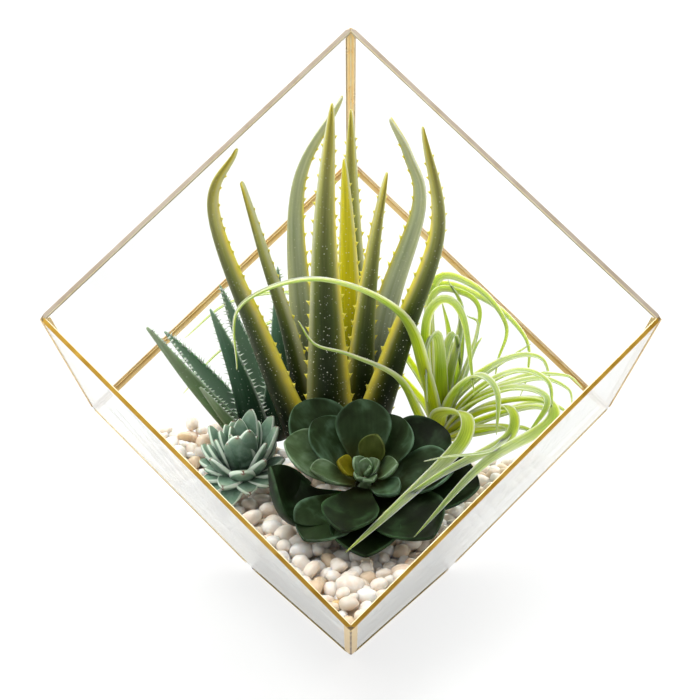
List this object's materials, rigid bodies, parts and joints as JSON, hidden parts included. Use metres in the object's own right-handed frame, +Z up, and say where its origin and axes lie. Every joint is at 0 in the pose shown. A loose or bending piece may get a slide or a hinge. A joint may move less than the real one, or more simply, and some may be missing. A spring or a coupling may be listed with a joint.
{
  "type": "plant terrarium",
  "caption": "Open glass terrarium: a brass-edged glass cube on a cut-off corner, its front face open, planted with aloes, echeverias and an air plant in a bed of white pebbles.",
  "frame": {"origin": "middle of the base on the floor, which is the middle of the bounding box's underside", "axes": "+Z up, the open face looks along -Y and up, +X to the viewer's right"},
  "size_m": [0.2828, 0.3264, 0.303],
  "materials": {
    "brass": "folded sheet brass, satin with brighter edges",
    "clear_glass": "clear float glass",
    "white_pebbles": "tumbled white and cream quartz stones, smooth",
    "tall_aloe_green": "moulded leaf, olive green, semi-gloss, pale speckles and yellow teeth",
    "small_aloe_green": "moulded leaf, blue-green, satin, white teeth",
    "echeveria_green": "moulded leaf, dark green, satin",
    "chalky_green": "moulded leaf, blue-green with a powdery bloom",
    "air_plant_green": "thin strap leaf, lime green, softly fuzzy"
  },
  "bodies": {
    "root": {"air_plant": "air_plant_green", "back_strip_lower_left": "brass", "back_strip_lower_right": "brass", "back_strip_upper_left": "brass", "back_strip_upper_right": "brass", "base_strip_back": "brass", "base_strip_left": "brass", "base_strip_right": "brass", "chalky_echeveria": "chalky_green", "echeveria_leaf_back_left": "echeveria_green", "echeveria_leaf_back_right": "echeveria_green", "echeveria_leaf_front": "echeveria_green", "echeveria_leaf_heart_back": "echeveria_green", "echeveria_leaf_heart_left": "echeveria_green", "echeveria_leaf_inner_front": "echeveria_green", "echeveria_leaf_inner_left": "echeveria_green", "echeveria_leaf_inner_right": "echeveria_green", "echeveria_leaf_left": "echeveria_green", "echeveria_leaf_low_left": "echeveria_green", "echeveria_leaf_low_right": "echeveria_green", "echeveria_leaf_right": "echeveria_green", "echeveria_leaf_top": "echeveria_green", "echeveria_leaf_under_front": "echeveria_green", "echeveria_leaf_under_left": "echeveria_green", "echeveria_leaf_under_right": "echeveria_green", "echeveria_leaf_upper_left": "echeveria_green", "echeveria_leaf_upper_right": "echeveria_green", "echeveria_stem": "echeveria_green", "front_foot_strip": "brass", "pane_back": "clear_glass", "pane_base": "clear_glass", "pane_lower_left": "clear_glass", "pane_lower_right": "clear_glass", "pane_upper_left": "clear_glass", "pane_upper_right": "clear_glass", "pebble_bed": "white_pebbles", "rim_strip_lower_left": "brass", "rim_strip_lower_right": "brass", "rim_strip_upper_left": "brass", "rim_strip_upper_right": "brass", "side_strip_left": "brass", "side_strip_right": "brass", "small_aloe_crown": "small_aloe_green", "small_aloe_leaf_back": "small_aloe_green", "small_aloe_leaf_front": "small_aloe_green", "small_aloe_leaf_left": "small_aloe_green", "small_aloe_leaf_left_back": "small_aloe_green", "small_aloe_leaf_low_left": "small_aloe_green", "small_aloe_leaf_right": "small_aloe_green", "tall_aloe_crown": "tall_aloe_green", "tall_aloe_leaf_back": "tall_aloe_green", "tall_aloe_leaf_back_left": "tall_aloe_green", "tall_aloe_leaf_front": "tall_aloe_green", "tall_aloe_leaf_left_back": "tall_aloe_green", "tall_aloe_leaf_left_front": "tall_aloe_green", "tall_aloe_leaf_middle": "tall_aloe_green", "tall_aloe_leaf_middle_right": "tall_aloe_green", "tall_aloe_leaf_right_back": "tall_aloe_green", "tall_aloe_leaf_right_front": "tall_aloe_green", "top_strip": "brass"}
  },
  "joints": []
}
